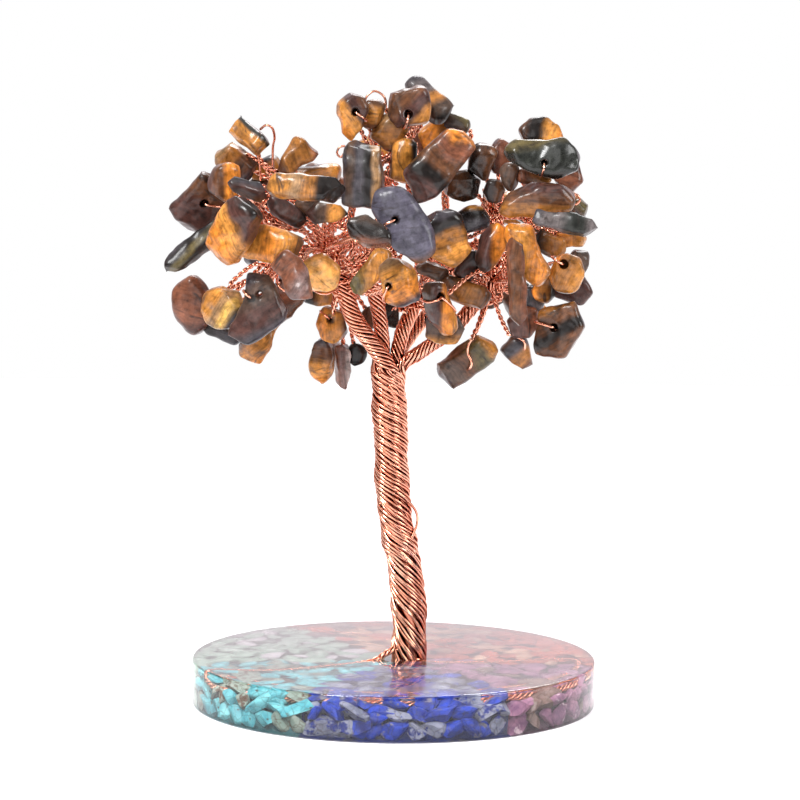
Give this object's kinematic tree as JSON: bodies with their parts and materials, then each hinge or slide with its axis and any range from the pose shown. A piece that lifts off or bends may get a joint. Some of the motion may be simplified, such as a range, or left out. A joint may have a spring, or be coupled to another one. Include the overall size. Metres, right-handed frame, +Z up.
{
  "type": "gemstone wire tree ornament",
  "caption": "Table ornament: a tree of tumbled tiger-eye chips on limbs of twisted copper wire, rooted in a clear resin disc that holds coloured stone chips.",
  "frame": {"origin": "centre of the resin disc's underside", "axes": "+Z up along the tree, the front seen in the picture looks towards -Y, +X to the right of that view"},
  "size_m": [0.0867, 0.081, 0.1262],
  "materials": {
    "clear_resin": "clear glossy cast resin",
    "copper": "bright bare copper wire, twisted",
    "tiger_eye_gold": "polished golden and orange tiger eye",
    "tiger_eye_brown": "polished brown tiger eye",
    "tiger_eye_plum": "polished plum-brown tiger eye",
    "tiger_eye_slate": "satin grey-blue tiger eye",
    "tiger_eye_dark": "polished near-black tiger eye",
    "tiger_eye_banded": "polished tiger eye with silky bands",
    "tiger_eye_honey": "polished translucent honey tiger eye"
  },
  "bodies": {
    "root": {"resin_disc": "clear_resin", "copper_wire_tree": "copper", "chip_top_front": "tiger_eye_brown", "chip_top_back": "tiger_eye_slate", "chip_top_pair_left": "tiger_eye_banded", "chips_top_inner": "tiger_eye_brown", "chip_high_left_block": "tiger_eye_gold", "chip_high_left_slab": "tiger_eye_brown", "chip_high_left_boot": "tiger_eye_brown", "chip_left_plum": "tiger_eye_plum", "chip_left_orange_wedge": "tiger_eye_gold", "chip_left_thin_grey": "tiger_eye_slate", "chip_left_long_gold": "tiger_eye_gold", "chip_left_orange": "tiger_eye_gold", "chip_left_gold_block": "tiger_eye_gold", "chip_left_long_dark": "tiger_eye_slate", "chips_left_plum_trio": "tiger_eye_plum", "chips_left_low_pair": "tiger_eye_plum", "chip_left_banded": "tiger_eye_banded", "chip_left_big_slate": "tiger_eye_slate", "chip_left_gold_edge": "tiger_eye_gold", "chip_left_reddish": "tiger_eye_plum", "chip_left_honey": "tiger_eye_honey", "chip_under_orange": "tiger_eye_gold", "chip_under_long": "tiger_eye_gold", "chips_under_pair": "tiger_eye_brown", "chips_behind_fork": "tiger_eye_dark", "chip_middle_slab": "tiger_eye_banded", "chip_middle_oval": "tiger_eye_dark", "chip_middle_tear": "tiger_eye_slate", "chip_middle_striped": "tiger_eye_banded", "chip_middle_yellow": "tiger_eye_gold", "chip_middle_olive": "tiger_eye_gold", "chip_middle_drilled": "tiger_eye_gold", "chip_front_stub": "tiger_eye_gold", "chip_front_grey_rim": "tiger_eye_slate", "chips_front_brown_logs": "tiger_eye_brown", "chip_low_big": "tiger_eye_brown", "chip_low_small": "tiger_eye_banded", "chip_right_curved": "tiger_eye_dark", "chips_right_dark_trio": "tiger_eye_dark", "chip_right_big_green": "tiger_eye_dark", "chips_right_small_trio": "tiger_eye_brown", "chip_right_long_slab": "tiger_eye_gold", "chip_right_grey_finger": "tiger_eye_slate", "chip_right_dark_orange": "tiger_eye_gold", "chip_right_long_orange": "tiger_eye_gold", "chip_right_long_finger": "tiger_eye_brown", "chip_right_heart": "tiger_eye_gold", "chips_right_inner_pair": "tiger_eye_brown", "chips_right_outer_pair": "tiger_eye_plum", "chips_right_lower_trio": "tiger_eye_brown", "chip_right_low_big": "tiger_eye_brown", "chips_back_crest": "tiger_eye_brown", "chips_back_high_left": "tiger_eye_banded", "chips_back_left": "tiger_eye_plum", "chips_back_high_right": "tiger_eye_brown", "chips_back_right": "tiger_eye_gold", "chips_back_low_left": "tiger_eye_gold", "chips_back_low_right": "tiger_eye_brown"}
  },
  "joints": []
}
